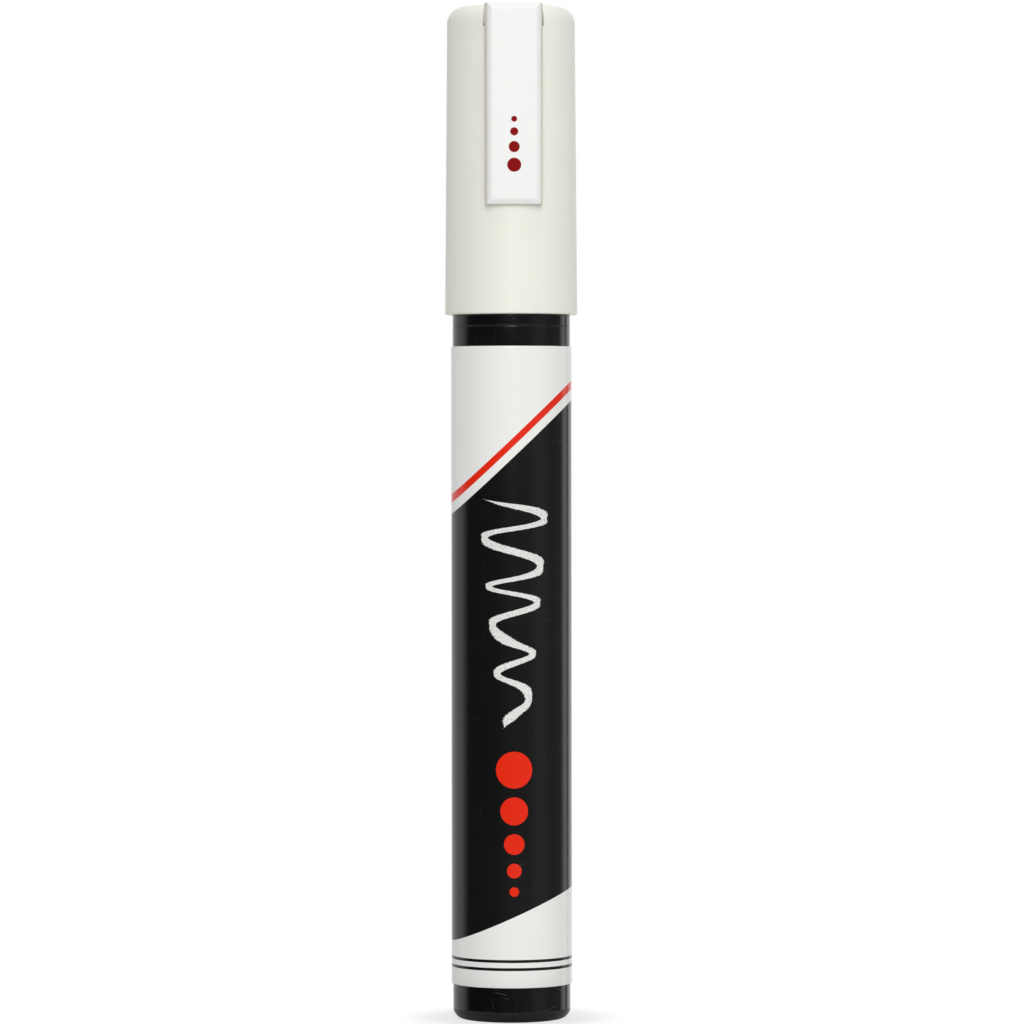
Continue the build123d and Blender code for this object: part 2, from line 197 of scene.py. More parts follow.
def makeRoundPlace():
    group, _, out = newGroup("roundPlace", [], [("Place", "Vector"), ("Angle", "Float"), ("Up", "Float")])
    spot = parted(group, objectPlace(group))
    angle = calc(group, "ARCTAN2", spot["X"], times(group, spot["Y"], -1.0))
    reach = length(group, spot["X"], spot["Y"])
    feed(group, out["Place"], joined(group, times(group, angle, reach), spot["Z"], reach))
    feed(group, out["Angle"], angle)
    feed(group, out["Up"], spot["Z"])
    return group


grain = {"detail": 3.0, "roughness": 0.6, "broadShare": 0.012, "broadRoughness": 0.55, "tone": (0.3, 0.7)}


def makeMouldGrain():
    inputs = [("Size", "Float", 0.2 * mm)]
    group, given, out = newGroup("mouldGrain", inputs, [("Height", "Float"), ("Tone", "Float")])
    spot = objectPlace(group)
    scale = calc(group, "DIVIDE", 1.0, given["Size"])
    feed(group, out["Height"], noise(group, spot, scale, grain["detail"], grain["roughness"]))
    broadScale = times(group, scale, grain["broadShare"])
    broad = noise(group, spot, broadScale, grain["detail"], grain["broadRoughness"])
    feed(group, out["Tone"], ramp(group, broad, *grain["tone"]))
    return group


scratchLines = {
    "families": ((8, 0.0), (-17, 3.1), (74, 7.7), (101, 12.3)),  # degrees and offset of each family of lines
    "fewest": 0.86, "most": 0.66, "edge": 0.05, "detail": 1.0, "roughness": 0.4,
    "patchScale": 160.0, "patches": (0.42, 0.62),
}


def makeFineScratches():
    inputs = [("Place", "Vector", (0, 0, 0)), ("Width", "Float", 0.06 * mm), ("Length", "Float", 6 * mm),
              ("Amount", "Float", 0.5)]
    group, given, out = newGroup("fineScratches", inputs, [("Mask", "Float")])
    across = calc(group, "DIVIDE", 1.0, given["Width"])
    along = calc(group, "DIVIDE", 1.0, given["Length"])
    stretch = joined(group, across, along, 0.0)
    limits = scratchLines["fewest"], scratchLines["most"]
    threshold = ramp(group, given["Amount"], 0.0, 1.0, *limits, smooth=False)
    families = []
    for turn, shift in scratchLines["families"]:
        turned = addNode(group, "VectorRotate", {"Vector": given["Place"], "Angle": math.radians(turn)},
                         rotation_type="Z_AXIS").outputs[0]
        moved = vector(group, "ADD", vector(group, "MULTIPLY", turned, stretch), (shift, shift, shift))
        lines = noise(group, moved, 1.0, scratchLines["detail"], scratchLines["roughness"], "2D")
        families.append(ramp(group, minus(group, lines, threshold), 0.0, scratchLines["edge"]))
    patches = noise(group, given["Place"], scratchLines["patchScale"])
    shown = ramp(group, patches, *scratchLines["patches"])
    feed(group, out["Mask"], times(group, anyOf(group, families), shown))
    return group


smears = {"wideDetail": 4.0, "fineDetail": 3.0, "roughness": 0.6, "wide": (0.35, 0.7), "fineShare": 9.0}


def makeSmudges():
    inputs = [("Place", "Vector", (0, 0, 0)), ("Size", "Float", 10 * mm)]
    group, given, out = newGroup("smudges", inputs, [("Mask", "Float")])
    scale = calc(group, "DIVIDE", 1.0, given["Size"])
    broad = noise(group, given["Place"], scale, smears["wideDetail"], smears["roughness"])
    wide = ramp(group, broad, *smears["wide"])
    fineScale = times(group, scale, smears["fineShare"])
    fine = noise(group, given["Place"], fineScale, smears["fineDetail"], smears["roughness"])
    feed(group, out["Mask"], times(group, wide, fine))
    return group


def makePartingLine():
    inputs = [("Angle", "Float", 0.0), ("At", "Float", 1.2), ("Width", "Float", 0.01)]
    group, given, out = newGroup("partingLine", inputs, [("Mask", "Float")])
    away = magnitude(group, minus(group, magnitude(group, given["Angle"]), given["At"]))
    feed(group, out["Mask"], ramp(group, away, given["Width"], 0.0))
    return group


roundPlace = makeRoundPlace()
mouldGrain = makeMouldGrain()
fineScratches = makeFineScratches()
smudges = makeSmudges()
partingLine = makePartingLine()
print("shared effects ready")


# Moulded plastics

plastic = {"ior": 1.49, "scatterTint": (1.0, 0.92, 0.8), "filmFull": 0.7}


def scratchMask(tree, place, look):
    inputs = {"Place": place, "Width": look["scratchWidth"], "Length": look["scratchLength"],
              "Amount": look["scratchAmount"]}
    return useGroup(tree, fineScratches, inputs)["Mask"]


def makePlastic(name, look):
    material, tree, shader = newMaterial(name, {"IOR": plastic["ior"]})
    if "scatter" in look:  # light wanders a little under the skin of pale plastic
        feed(tree, shader.inputs["Subsurface Weight"], look["scatter"])
        feed(tree, shader.inputs["Subsurface Radius"], plastic["scatterTint"])
        feed(tree, shader.inputs["Subsurface Scale"], look["scatterDepth"])
    skin = useGroup(tree, mouldGrain, {"Size": look["grainSize"]})
    where = useGroup(tree, roundPlace)
    place = where["Place"]
    if "flat" in look:  # a flat piece is marked in its own plane, not round the axis
        spot = parted(tree, objectPlace(tree))
        place = joined(tree, spot["X"], spot["Z"], spot["Y"])
    marks = scratchMask(tree, place, look)
    if "scrapes" in look:  # a few longer marks from being carried about
        moved = vector(tree, "ADD", place, look["scrapes"]["shift"])
        marks = larger(tree, marks, scratchMask(tree, moved, look["scrapes"]))
    if "wear" in look:  # the foot is scuffed most
        marks = times(tree, marks, ramp(tree, where["Up"], *look["wear"]))
    film = useGroup(tree, smudges, {"Place": place, "Size": look["smudgeSize"]})["Mask"]
    colour = blendColour(tree, skin["Tone"], opaque(look["colour"]), opaque(look["colourDrift"]))
    painted = times(tree, marks, look["scratchPaint"])
    colour = blendColour(tree, painted, colour, opaque(look["scratchColour"]))
    smeared = look["roughness"] + look["smudgeRoughness"]
    rough = ramp(tree, film, 0.0, plastic["filmFull"], look["roughness"], smeared)
    rough = plus(tree, rough, times(tree, marks, look["scratchRoughness"]), clamp=True)
    height = times(tree, skin["Height"], look["grainHeight"])
    height = minus(tree, height, times(tree, marks, look["scratchDepth"]))
    if "partingAngle" in look:
        inputs = {"Angle": where["Angle"], "At": math.radians(look["partingAngle"]),
                  "Width": look["partingWidth"]}
        line = useGroup(tree, partingLine, inputs)["Mask"]
        height = plus(tree, height, times(tree, line, look["partingHeight"]))
    feed(tree, shader.inputs["Base Color"], colour)
    feed(tree, shader.inputs["Roughness"], rough)
    addBump(tree, shader, height)
    return material, tree, shader


def dress(node, material):
    slots = nodes[node].data.materials
    slots.clear()
    slots.append(material)


blackBarrel = {
    "colour": (0.0036, 0.0036, 0.0038), "colourDrift": (0.0044, 0.0044, 0.0046), "roughness": 0.1,
    "grainSize": 0.25 * mm, "grainHeight": 0.0012, "smudgeSize": 9 * mm, "smudgeRoughness": 0.12,
    "scratchWidth": 0.05 * mm, "scratchLength": 7 * mm, "scratchAmount": 0.66, "scratchPaint": 0.7,
    "scratchColour": (0.045, 0.045, 0.046), "scratchRoughness": 0.22, "scratchDepth": 0.004,
    "partingAngle": 72, "partingWidth": 0.012, "partingHeight": 0.012,
    "scrapes": {"scratchWidth": 0.2 * mm, "scratchLength": 8 * mm, "scratchAmount": 0.5,
                "shift": (23 * mm, 13 * mm, 0.0)},
    "wear": (20 * mm, 60 * mm, 1.0, 0.3),  # heights between which it eases, share at the foot and above
}
blackHolder = dict(blackBarrel, scratchAmount=0.5, partingAngle=75)
softInnerCap = {
    "colour": (0.76, 0.76, 0.74), "colourDrift": (0.72, 0.72, 0.69), "roughness": 0.45,
    "grainSize": 0.3 * mm, "grainHeight": 0.006, "smudgeSize": 8 * mm, "smudgeRoughness": 0.12,
    "scratchWidth": 0.08 * mm, "scratchLength": 4 * mm, "scratchAmount": 0.3, "scratchPaint": 0.3,
    "scratchColour": (0.6, 0.6, 0.58), "scratchRoughness": 0.1, "scratchDepth": 0.004,
}
naturalCase = dict(softInnerCap, colour=(0.70, 0.70, 0.65), colourDrift=(0.66, 0.66, 0.6))
acetalStem = dict(softInnerCap, colour=(0.78, 0.78, 0.76), colourDrift=(0.75, 0.75, 0.72), roughness=0.3)
rubberGasket = dict(softInnerCap, colour=(0.018, 0.018, 0.019), colourDrift=(0.024, 0.024, 0.025),
                    roughness=0.7, grainHeight=0.012, scratchColour=(0.05, 0.05, 0.05))

for node, name, look in (
    ("barrel", "blackBarrel", blackBarrel), ("front_holder", "blackHolder", blackHolder),
    ("inner_cap", "softInnerCap", softInnerCap), ("valve_case", "naturalCase", naturalCase),
    ("valve_stem", "acetalStem", acetalStem), ("valve_gasket", "rubberGasket", rubberGasket),
):
    dress(node, makePlastic(name, look)[0])
print("moulded plastics done")


# Cap

ivoryCap = {
    "colour": (0.87, 0.87, 0.795), "colourDrift": (0.86, 0.86, 0.78), "roughness": 0.36,
    "grainSize": 0.22 * mm, "grainHeight": 0.004, "smudgeSize": 12 * mm, "smudgeRoughness": 0.1,
    "scratchWidth": 0.07 * mm, "scratchLength": 5 * mm, "scratchAmount": 0.35, "scratchPaint": 0.25,
    "scratchColour": (0.70, 0.70, 0.62), "scratchRoughness": 0.08, "scratchDepth": 0.003,
    "partingAngle": 90, "partingWidth": 0.012, "partingHeight": 0.01,
    "scatter": 0.4, "scatterDepth": 0.3 * mm,
}
capSlots = {  # painted shade, dark brown, in the narrow slots beside the clip's root, in mm
    "across": (3.85, 4.07), "deep": (-7.75, -7.15), "foot": 135.38, "paintedShade": (0.12, 0.04, 0.012),
    "sides": ((1, 137.7), (-1, 136.0)),  # on which side, and the height where it starts
}


def between(tree, value, limits):
    above = calc(tree, "GREATER_THAN", value, limits[0] * mm)
    return times(tree, above, calc(tree, "LESS_THAN", value, limits[1] * mm))


def dressCap():
    material, tree, shader = makePlastic("ivoryCap", ivoryCap)
    spot = parted(tree, objectPlace(tree))
    foot = capSlots["foot"] * mm
    within = between(tree, magnitude(tree, spot["X"]), capSlots["across"])
    within = times(tree, within, between(tree, spot["Y"], capSlots["deep"]))
    within = times(tree, within, calc(tree, "GREATER_THAN", spot["Z"], foot))
    # painted shade: dark brown in the slots beside the clip's root, deepening towards the slot's foot
    shadedSides = []
    for side, top in capSlots["sides"]:
        here = calc(tree, "GREATER_THAN", times(tree, spot["X"], side), 0.0)
        shadedSides.append(times(tree, here, ramp(tree, spot["Z"], top * mm, foot, smooth=False)))
    mask = times(tree, within, anyOf(tree, shadedSides))
    colour = blendColour(tree, mask, feeding(shader, "Base Color"), opaque(capSlots["paintedShade"]))
    feed(tree, shader.inputs["Base Color"], colour)
    dress("cap_shell", material)


dressCap()
print("cap done")


# Clip

whiteClip = {
    "flat": True, "colour": (0.88, 0.88, 0.87), "colourDrift": (0.87, 0.87, 0.855), "roughness": 0.34,
    "grainSize": 0.2 * mm, "grainHeight": 0.003, "smudgeSize": 10 * mm, "smudgeRoughness": 0.1,
    "scratchWidth": 0.06 * mm, "scratchLength": 4 * mm, "scratchAmount": 0.35, "scratchPaint": 0.2,
    "scratchColour": (0.74, 0.74, 0.72), "scratchRoughness": 0.08, "scratchDepth": 0.003,
    "scatter": 0.4, "scatterDepth": 0.3 * mm,
}
clipPrintAndShade = {  # a column of dots, largest at the foot, on the bare front of the clip, in mm
    "ink": (0.27, 0.0, 0.0), "inkRoughness": 0.12, "foot": 115.5, "radii": (0.95, 0.75, 0.55, 0.4),
    "gap": 0.75, "soft": 0.02, "frontDepth": 0.2,
    "paintedShade": (0.85, 0.82, 0.74), "paintedShadeEdges": (3.3, 3.75),  # painted shade, tan, along the clip's flanks
}


def dotMask(tree, across, up, height, radius, soft):
    reach = length(tree, across, minus(tree, up, height))
    return ramp(tree, reach, radius + soft, radius - soft)


def dressClip():
    material, tree, shader = makePlastic("whiteClip", whiteClip)
    spot = parted(tree, objectPlace(tree))
    height, dots = clipPrintAndShade["foot"], []
    for radius in clipPrintAndShade["radii"]:
        middle = (height + radius) * mm
        dots.append(dotMask(tree, spot["X"], spot["Z"], middle, radius * mm, clipPrintAndShade["soft"] * mm))
        height += 2 * radius + clipPrintAndShade["gap"]
    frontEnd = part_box("cap_clip")[0].y + clipPrintAndShade["frontDepth"] * mm
    ink = times(tree, anyOf(tree, dots), calc(tree, "LESS_THAN", spot["Y"], frontEnd))
    # painted shade: a tan darkening multiplied in towards the clip's flanks
    shadeFrom, shadeFull = clipPrintAndShade["paintedShadeEdges"]
    flank = ramp(tree, magnitude(tree, spot["X"]), shadeFrom * mm, shadeFull * mm)
    paintedShade = opaque(clipPrintAndShade["paintedShade"])
    colour = blendColour(tree, flank, feeding(shader, "Base Color"), paintedShade, "MULTIPLY")
    feed(tree, shader.inputs["Base Color"], blendColour(tree, ink, colour, opaque(clipPrintAndShade["ink"])))
    rough = blendValue(tree, ink, feeding(shader, "Roughness"), clipPrintAndShade["inkRoughness"])
    feed(tree, shader.inputs["Roughness"], rough)
    dress("cap_clip", material)


dressClip()
print("clip done")


# Printed film round the barrel

labelFilm = {
    "overlap": 3.0, "lift": 0.07, "edgeRound": 0.05, "glue": 0.01,  # mm
    "edgeProfile": ((0.0, 1.0), (0.3, 0.3), (1.0, 0.0), (4.0, 0.0)),  # the last row holds the wall straight
    "turnSteps": 256, "seamAngle": 172.0, "climbTurn": 0.03,  # a count, degrees, radians
}


def makeLabelMesh():
    low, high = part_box("label_sleeve")
    outer = high.x
    glue = labelFilm["glue"] * mm
    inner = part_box("barrel")[1].x + glue
    start = math.radians(labelFilm["seamAngle"])
    turn = fullTurn + labelFilm["overlap"] * mm / outer
    steps = labelFilm["turnSteps"]
    lift = labelFilm["lift"] * mm
    climbTurn = labelFilm["climbTurn"]
    edge = labelFilm["edgeRound"] * mm
    profile = labelFilm["edgeProfile"]
    rows = [(low.z + rise * edge, pull * edge) for rise, pull in profile]
    rows += [(high.z - rise * edge, pull * edge) for rise, pull in reversed(profile)]
    mesh = bpy.data.meshes.new("labelFilm")
    build = bmesh.new()

    def ringRadius(along, base):  # the free end climbs over the first end
        climb = (along - (fullTurn - climbTurn)) / climbTurn
        return base + lift * min(max(climb, 0.0), 1.0)

    def addRing(height, radii):
        ring = []
        for step, radius in enumerate(radii):
            angle = start + turn * step / steps
            ring.append(build.verts.new((radius * math.sin(angle), -radius * math.cos(angle), height)))
        return ring

    way = [turn * step / steps for step in range(steps + 1)]
    front = [ringRadius(along, outer) for along in way]
    back = [outer + glue if along > fullTurn else ringRadius(along, inner) for along in way]
    outerRows = [addRing(height, [radius - pull for radius in front]) for height, pull in rows]
    innerLow, innerHigh = [addRing(height, back) for height in (low.z, high.z)]
    for lower, upper in zip(outerRows, outerRows[1:]):
        for n in range(steps):
            build.faces.new((lower[n], lower[n + 1], upper[n + 1], upper[n])).smooth = True
    foot, top = outerRows[0], outerRows[-1]
    for n in range(steps):
        build.faces.new((innerLow[n + 1], innerLow[n], innerHigh[n], innerHigh[n + 1])).smooth = True
        build.faces.new((foot[n + 1], foot[n], innerLow[n], innerLow[n + 1]))
        build.faces.new((top[n], top[n + 1], innerHigh[n + 1], innerHigh[n]))
    for n, flip in ((0, False), (steps, True)):
        rim = [innerLow[n]] + [ring[n] for ring in outerRows] + [innerHigh[n]]
        build.faces.new(rim if flip else rim[::-1])
    bmesh.ops.recalc_face_normals(build, faces=build.faces)
    build.to_mesh(mesh)
    build.free()
    film = bpy.data.objects.new("label_film", mesh)
    scene.collection.objects.link(film)
    return film


labelPrint = {  # places of the print in mm
    "white": (0.88, 0.88, 0.855), "black": (0.0055, 0.0055, 0.0058), "orange": (0.80, 0.024, 0.006),
    "fleck": (0.6, 0.6, 0.58), "fleckScale": 30.0, "fleckShare": 0.05, "soft": 0.03, "ior": 1.5,
    "upperSplit": (77.0, 0.95), "lowerSplit": (14.5, 0.45),  # height at the axis, rise per mm to the right
    "stripe": (1.5, 1.2), "rules": ((7.4, 0.4), (8.5, 0.4)),
    "dots": {"top": 37.0, "radii": (2.5, 1.9, 1.4, 1.0, 0.65), "gap": 1.2},
    "roughness": 0.2, "inkRoughness": 0.15, "inkHeight": 0.004, "rippleScale": 220.0, "rippleHeight": 0.01,
    "smudgeSize": 12 * mm, "smudgeRoughness": 0.07,
    "scratchWidth": 0.05 * mm, "scratchLength": 8 * mm, "scratchAmount": 0.25, "scratchPaint": 0.06,
    "scratchColour": (0.5, 0.5, 0.5), "scratchRoughness": 0.15, "scratchDepth": 0.002,
}
chalkWave = {  # a drawn line that swings wider as it climbs, in mm
    "foot": 40.0, "top": 71.5, "reach": 4.6, "footShare": 0.35, "pitch": 6.4, "half": 0.5, "taper": 1.5,
    "wander": 5.0, "wanderScale": 0.16, "wanderDetail": 1.0, "wanderFrom": 4.0, "edge": 0.08,
    "rag": 0.4, "ragScale": 4.0, "ragDetail": 3.0, "crumble": 0.7, "crumbScale": 9.0, "crumbs": (0.36, 0.46),
}


def chalkMask(tree, around, up, flat):
    wave = chalkWave
    foot, top, taper = wave["foot"], wave["top"], wave["taper"]
    swing = fullTurn / wave["pitch"]
    drift = joined(tree, 0.0, up, wave["wanderFrom"])
    wander = noise(tree, drift, wave["wanderScale"], wave["wanderDetail"])
    phase = calc(tree, "MULTIPLY_ADD", up, swing, times(tree, wander, wave["wander"]))
    ends = times(tree, ramp(tree, up, foot, foot + taper), ramp(tree, up, top, top - taper))
    half = times(tree, ends, wave["half"])
    reach = times(tree, ramp(tree, up, foot, top, wave["footShare"], 1.0, smooth=False), wave["reach"])
    middle = times(tree, calc(tree, "SINE", phase), reach)
    slope = times(tree, calc(tree, "COSINE", phase), times(tree, reach, swing))
    steep = length(tree, slope, 1.0)
    away = calc(tree, "DIVIDE", magnitude(tree, minus(tree, around, middle)), steep)
    rag = noise(tree, flat, wave["ragScale"], wave["ragDetail"], wave["crumble"])
    ragged = times(tree, minus(tree, rag, 0.5), wave["rag"])
    spare = minus(tree, half, plus(tree, away, ragged))
    crumbs = ramp(tree, noise(tree, flat, wave["crumbScale"], roughness=wave["crumble"]), *wave["crumbs"])
    drawn = times(tree, calc(tree, "COMPARE", up, (foot + top) / 2, (top - foot) / 2), crumbs)
    return times(tree, ramp(tree, spare, 0.0, wave["edge"]), drawn)


def makeLabelMaterial():
    look = labelPrint
    material, tree, shader = newMaterial("labelPrint", {"IOR": look["ior"]})
    where = useGroup(tree, roundPlace)
    across = times(tree, parted(tree, objectPlace(tree))["X"], 1 / mm)
    around = times(tree, parted(tree, where["Place"])["X"], 1 / mm)
    up = times(tree, where["Up"], 1 / mm)
    flat = joined(tree, around, up, 0.0)

    def aboveSplit(split, offset=0.0):
        line = calc(tree, "MULTIPLY_ADD", across, split[1], split[0] + offset)
        return ramp(tree, minus(tree, up, line), -look["soft"], look["soft"])

    upper = look["upperSplit"]
    gap, width = look["stripe"]
    field = minus(tree, aboveSplit(look["lowerSplit"]), aboveSplit(upper))
    stripe = minus(tree, aboveSplit(upper, gap), aboveSplit(upper, gap + width))
    rules = [calc(tree, "COMPARE", up, height, thick / 2) for height, thick in look["rules"]]
    dots, height = [], look["dots"]["top"]
    for radius in look["dots"]["radii"]:
        dots.append(dotMask(tree, around, up, height - radius, radius, look["soft"]))
        height -= 2 * radius + look["dots"]["gap"]
    orange = anyOf(tree, [stripe] + dots)
    inked = larger(tree, field, orange)
    marks = scratchMask(tree, where["Place"], look)
    film = useGroup(tree, smudges, {"Place": where["Place"], "Size": look["smudgeSize"]})["Mask"]

    flecks = times(tree, noise(tree, flat, look["fleckScale"]), look["fleckShare"])
    white = blendColour(tree, flecks, opaque(look["white"]), opaque(look["fleck"]))
    colour = blendColour(tree, anyOf(tree, [field] + rules), white, opaque(look["black"]))
    colour = blendColour(tree, chalkMask(tree, around, up, flat), colour, white)
    colour = blendColour(tree, orange, colour, opaque(look["orange"]))
    painted = times(tree, marks, look["scratchPaint"])
    colour = blendColour(tree, painted, colour, opaque(look["scratchColour"]))
    feed(tree, shader.inputs["Base Color"], colour)

    rough = ramp(tree, inked, 0.0, 1.0, look["roughness"], look["inkRoughness"])
    rough = plus(tree, rough, times(tree, film, look["smudgeRoughness"]))
    rough = plus(tree, rough, times(tree, marks, look["scratchRoughness"]), clamp=True)
    feed(tree, shader.inputs["Roughness"], rough)

    ripple = times(tree, noise(tree, where["Place"], look["rippleScale"]), look["rippleHeight"])
    relief = plus(tree, times(tree, inked, look["inkHeight"]), ripple)
    addBump(tree, shader, minus(tree, relief, times(tree, marks, look["scratchDepth"])))
    return material


label = makeLabelMesh()
label.data.materials.append(makeLabelMaterial())
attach(label, "marker")
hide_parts("label_sleeve")
print("label done:", len(label.data.polygons), "faces")


# Nib

nibFibre = {
    "colour": (0.80, 0.78, 0.72), "valley": (0.55, 0.53, 0.47), "depth": (0.12, 0.34), "height": 0.03,
    "fibre": 0.07 * mm, "run": 1.6 * mm, "detail": 3.0, "crimp": 0.6, "poreScale": 9000.0,
    "strands": (0.3, 0.7), "roughness": (0.78, 0.95), "sheen": 0.25, "sheenRoughness": 0.6,
}


def makeNibMaterial():
    look = nibFibre
    inputs = {"Sheen Weight": look["sheen"], "Sheen Roughness": look["sheenRoughness"]}
    material, tree, shader = newMaterial("nibFibre", inputs)
    spot = objectPlace(tree)
    across, along = 1 / look["fibre"], 1 / look["run"]
    stretched = vector(tree, "MULTIPLY", spot, (across, across, along))
    strands = noise(tree, stretched, 1.0, look["detail"], look["crimp"])
    depth = times(tree, strands, noise(tree, spot, look["poreScale"]))
    raised = ramp(tree, depth, *look["depth"])
    colour = blendColour(tree, raised, opaque(look["valley"]), opaque(look["colour"]))
    feed(tree, shader.inputs["Base Color"], colour)
    feed(tree, shader.inputs["Roughness"], ramp(tree, strands, *look["strands"], *look["roughness"]))
    addBump(tree, shader, times(tree, depth, look["height"]))
    return material


dress("nib", makeNibMaterial())
print("nib done")


# Steel ball and spring

steel = {
    "shade": 0.86, "detail": 3.0, "grit": 0.6, "lines": (0.3, 0.7), "roughnessRise": 0.12, "height": 0.002,
}
steelBall = {"colour": (0.58, 0.58, 0.59), "roughness": 0.12, "lineScale": 700.0}
springSteel = {
    "colour": (0.52, 0.52, 0.53), "roughness": 0.26, "lineScale": 2600.0,
    "wire": 0.3, "closedPitch": 2.08,  # radius in mm, pitch of the closed turns in such radii
    "turns": 6.0, "closed": 0.8,  # all turns, and those closed at each end
    "turnSteps": 40, "wireSteps": 14, "easing": 6,
}


def makeSteel(name, look):
    material, tree, shader = newMaterial(name, {"Metallic": 1.0})
    lines = noise(tree, objectPlace(tree), look["lineScale"], steel["detail"], steel["grit"])
    shade = [steel["shade"] * part for part in look["colour"]]
    colour = blendColour(tree, lines, opaque(shade), opaque(look["colour"]))
    feed(tree, shader.inputs["Base Color"], colour)
    dull = look["roughness"] + steel["roughnessRise"]
    feed(tree, shader.inputs["Roughness"], ramp(tree, lines, *steel["lines"], look["roughness"], dull))
    addBump(tree, shader, times(tree, lines, steel["height"]))
    return material


def springHeights(foot, top, steps):
    turns, closed = springSteel["turns"], springSteel["closed"]
    pitch = springSteel["wire"] * mm * springSteel["closedPitch"]
    free = top - foot - 2 * closed * pitch

    def climb(turn):  # closed turns at both ends, even pitch between them
        if turn < closed:
            return pitch * turn
        if turn > turns - closed:
            return top - foot - pitch * (turns - turn)
        return closed * pitch + free * (turn - closed) / (turns - 2 * closed)

    heights = [foot + climb(turns * n / steps) for n in range(steps + 1)]
    for _ in range(springSteel["easing"]):  # ease the change of pitch
        eased = [(a + 2 * b + c) / 4 for a, b, c in zip(heights, heights[1:], heights[2:])]
        heights = [heights[0]] + eased + [heights[-1]]
    return heights


def makeSpring():
    low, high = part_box("valve_spring")
    wire = springSteel["wire"] * mm
    coil = high.x - wire
    sides = springSteel["wireSteps"]
    steps = int(springSteel["turns"] * springSteel["turnSteps"])
    centres = []
    for n, height in enumerate(springHeights(low.z + wire, high.z - wire, steps)):
        angle = fullTurn * springSteel["turns"] * n / steps
        centres.append(Vector((coil * math.cos(angle), coil * math.sin(angle), height)))
    build = bmesh.new()
    rings = []
    for n, centre in enumerate(centres):
        ahead = centres[min(n + 1, steps)] - centres[max(n - 1, 0)]
        outward = Vector((centre.x, centre.y, 0)).normalized()
        side = ahead.normalized().cross(outward).normalized()
        ring = []
        for k in range(sides):
            turn = fullTurn * k / sides
            ring.append(build.verts.new(centre + (outward * math.cos(turn) + side * math.sin(turn)) * wire))
        rings.append(ring)
    for first, second in zip(rings, rings[1:]):
        for k in range(sides):
            after = (k + 1) % sides
            build.faces.new((first[k], first[after], second[after], second[k])).smooth = True
    build.faces.new(rings[0][::-1])
    build.faces.new(rings[-1])
    bmesh.ops.recalc_face_normals(build, faces=build.faces)
    mesh = bpy.data.meshes.new("springWire")
    build.to_mesh(mesh)
    build.free()
    wound = bpy.data.objects.new("spring_wire", mesh)
    scene.collection.objects.link(wound)
    return wound, low.z, high.z


dress("mixing_ball", makeSteel("steelBall", steelBall))
spring, springFoot, springTop = makeSpring()
spring.data.materials.append(makeSteel("springSteel", springSteel))
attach(spring, "marker")
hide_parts("valve_spring")
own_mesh(spring)
print("ball and spring done")


# Floor

floorDisc = {
    "reach": 16.5 * mm, "segments": 96, "colour": (0.5, 0.5, 0.5),
    "fadeFrom": 9 * mm, "glowLeast": 0.72, "mirrorFrom": 12.5 * mm,
}


def makeFloor():
    reach = floorDisc["reach"]
    mesh = bpy.data.meshes.new("floor")
    build = bmesh.new()
    bmesh.ops.create_circle(build, cap_ends=True, segments=floorDisc["segments"], radius=reach)
    build.to_mesh(mesh)
    build.free()
    floor = bpy.data.objects.new("floor", mesh)
    scene.collection.objects.link(floor)
    material = bpy.data.materials.new("paleFloor")
    material.use_nodes = True
    tree = material.node_tree
    tree.nodes.clear()
    shade = addNode(tree, "BsdfDiffuse", {"Color": opaque(floorDisc["colour"])}).outputs[0]
    glow = addNode(tree, "Emission", {"Color": (1, 1, 1, 1), "Strength": 1.0}).outputs[0]
    away = addNode(tree, "VectorMath", {0: objectPlace(tree)}, operation="LENGTH").outputs["Value"]
    path = addNode(tree, "LightPath").outputs
    fade = ramp(tree, away, floorDisc["fadeFrom"], reach, floorDisc["glowLeast"])  # no shadow left at the rim
    mirrorFade = ramp(tree, away, floorDisc["mirrorFrom"], reach)  # gloss shows the shaded floor close by
    gloss = larger(tree, path["Is Glossy Ray"], path["Is Transmission Ray"])
    seen = times(tree, path["Is Camera Ray"], fade)
    white = larger(tree, seen, times(tree, gloss, mirrorFade))
    mix = addNode(tree, "MixShader", {"Fac": white, 1: shade, 2: glow})
    tree.links.new(mix.outputs[0], addNode(tree, "OutputMaterial").inputs["Surface"])
    mesh.materials.append(material)


makeFloor()
print("floor done")


# Light from all round and one lamp

tent = {  # degrees round from the front, heights as shares of straight up
    "front": (-50, 30, 0.47, 0.68), "fall": (45, 90, 0.0, 0.28),
    "band": (-45, 55, 0.02, 0.18), "bandEdges": (-0.24, -0.17, 0.10, 0.17),  # darker at eye level in front
    "glimmer": (34, 46, 64, 76), "glimmerStrength": 0.12,
    "cardHeights": (-0.7, -0.58, -0.42, -0.3), "cardSides": (40, 20),  # a pale card below the lens
    "cardStrength": 2.0,
    "left": (92, 114), "leftStrength": 0.70, "right": (108, 116), "rightStrength": 0.95,
    "slit": (128, 130, 137, 139),  # a dark gap in the right wall
    "roof": (0.75, 0.95), "roofStrength": 0.68, "backdrop": (0.95, 0.97),
}
keyBox = {"place": (-0.04, -1.15, 0.62), "aim": (0, 0, 0.07), "size": (0.35, 0.7), "power": 6.1}


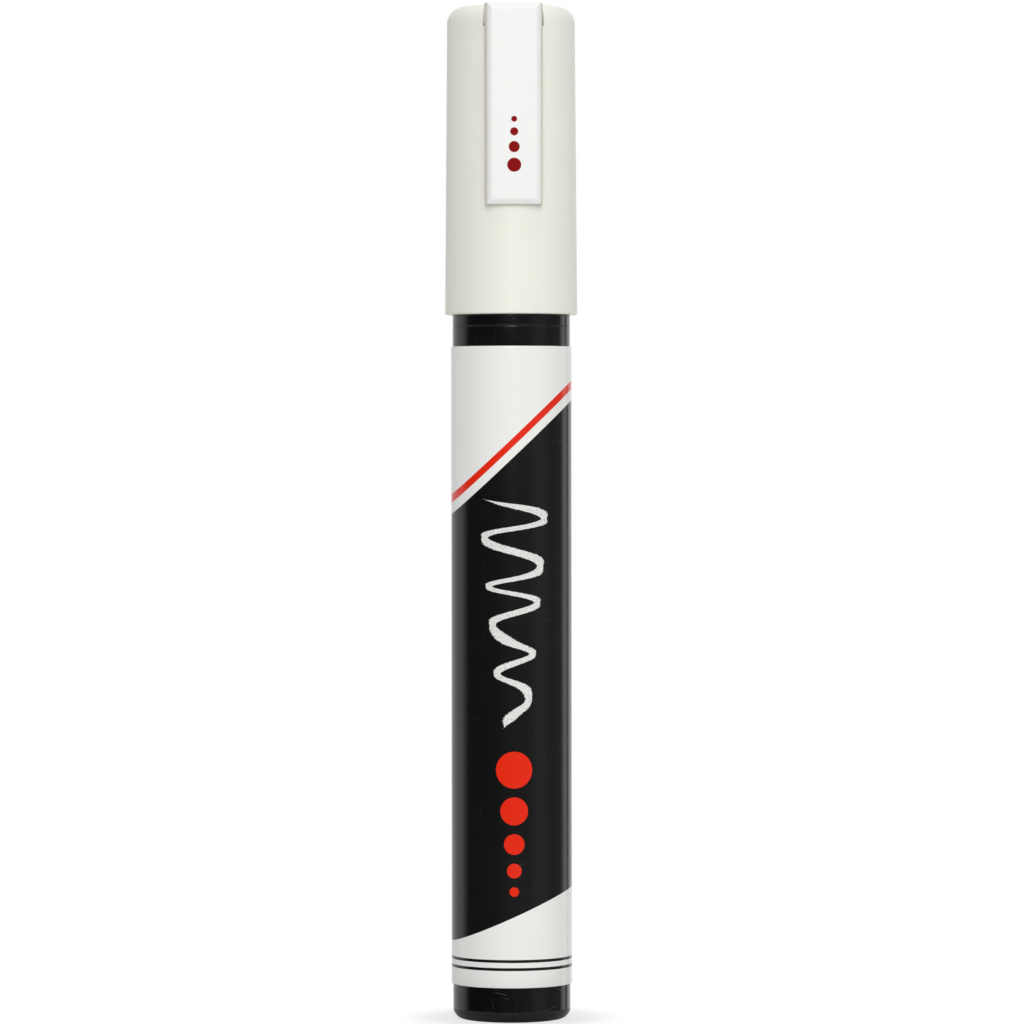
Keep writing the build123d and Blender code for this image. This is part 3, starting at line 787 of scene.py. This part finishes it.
def makeWorld():
    world = bpy.data.worlds.new("studio")
    scene.world = world
    world.use_nodes = True
    tree = world.node_tree
    tree.nodes.clear()
    way = parted(tree, addNode(tree, "TexCoord").outputs["Generated"])
    bearing = calc(tree, "ARCTAN2", way["X"], times(tree, way["Y"], -1.0))
    angle = times(tree, bearing, 180 / math.pi)

    def hump(value, edges):  # up between the first two edges, down between the last two
        return times(tree, ramp(tree, value, edges[0], edges[1]), ramp(tree, value, edges[3], edges[2]))

    def lit(level, mask, strength):
        return calc(tree, "MULTIPLY_ADD", mask, strength, level)

    low, lowEnd, highStart, high = tent["bandEdges"]
    outside = larger(tree, ramp(tree, way["Z"], lowEnd, low), ramp(tree, way["Z"], highStart, high))
    bright = minus(tree, ramp(tree, angle, *tent["front"]), ramp(tree, angle, *tent["fall"]))
    level = blendValue(tree, outside, ramp(tree, angle, *tent["band"]), bright)
    level = lit(level, hump(angle, tent["glimmer"]), tent["glimmerStrength"])
    ahead = ramp(tree, magnitude(tree, angle), *tent["cardSides"])
    card = times(tree, hump(way["Z"], tent["cardHeights"]), ahead)
    level = lit(level, card, tent["cardStrength"])
    leftWall = ramp(tree, times(tree, angle, -1.0), *tent["left"])
    level = blendValue(tree, leftWall, level, tent["leftStrength"])
    unslit = minus(tree, 1.0, hump(angle, tent["slit"]))
    rightWall = times(tree, ramp(tree, angle, *tent["right"]), unslit)
    level = blendValue(tree, rightWall, level, tent["rightStrength"])
    level = lit(level, ramp(tree, way["Z"], *tent["roof"]), tent["roofStrength"])
    path = addNode(tree, "LightPath").outputs
    gloss = larger(tree, path["Is Glossy Ray"], path["Is Transmission Ray"])
    backdrop = ramp(tree, way["Y"], *tent["backdrop"])
    white = larger(tree, path["Is Camera Ray"], times(tree, gloss, backdrop))
    strength = blendValue(tree, white, level, 1.0)
    paint = addNode(tree, "Background", {"Color": (1, 1, 1, 1), "Strength": strength})
    tree.links.new(paint.outputs[0], addNode(tree, "OutputWorld").inputs["Surface"])


def addKeyBox():
    lamp = bpy.data.lights.new("keyBox", "AREA")
    lamp.energy = keyBox["power"]
    lamp.shape = "RECTANGLE"
    lamp.size, lamp.size_y = keyBox["size"]
    holder = bpy.data.objects.new("keyBox", lamp)
    holder.location = keyBox["place"]
    facing = Vector(keyBox["aim"]) - Vector(keyBox["place"])
    holder.rotation_euler = facing.to_track_quat("-Z", "Y").to_euler()
    scene.collection.objects.link(holder)


makeWorld()
addKeyBox()
print("light done")


# Camera

view = {  # the photograph's view: a long lens a little left of the clip, at about mid height
    "distance": 0.720, "turn": -2.4, "height": 0.0800, "aimHeight": 0.0694, "aimSide": 0.00008,
    "lens": 184.65, "sensor": 36.0, "roll": -0.057, "clip": (0.01, 20.0),
}


def addCamera():
    data = bpy.data.cameras.new("camera")
    data.lens = view["lens"]
    data.sensor_width = view["sensor"]
    data.clip_start, data.clip_end = view["clip"]
    camera = bpy.data.objects.new("camera", data)
    turn, away = math.radians(view["turn"]), view["distance"]
    camera.location = (away * math.sin(turn), -away * math.cos(turn), view["height"])
    aim = Vector((view["aimSide"], 0, view["aimHeight"]))
    camera.rotation_euler = (aim - camera.location).to_track_quat("-Z", "Y").to_euler()
    camera.rotation_euler.rotate_axis("Z", math.radians(view["roll"]))
    scene.collection.objects.link(camera)
    scene.camera = camera


addCamera()
scene.view_settings.view_transform = "Standard"
print("camera ready")
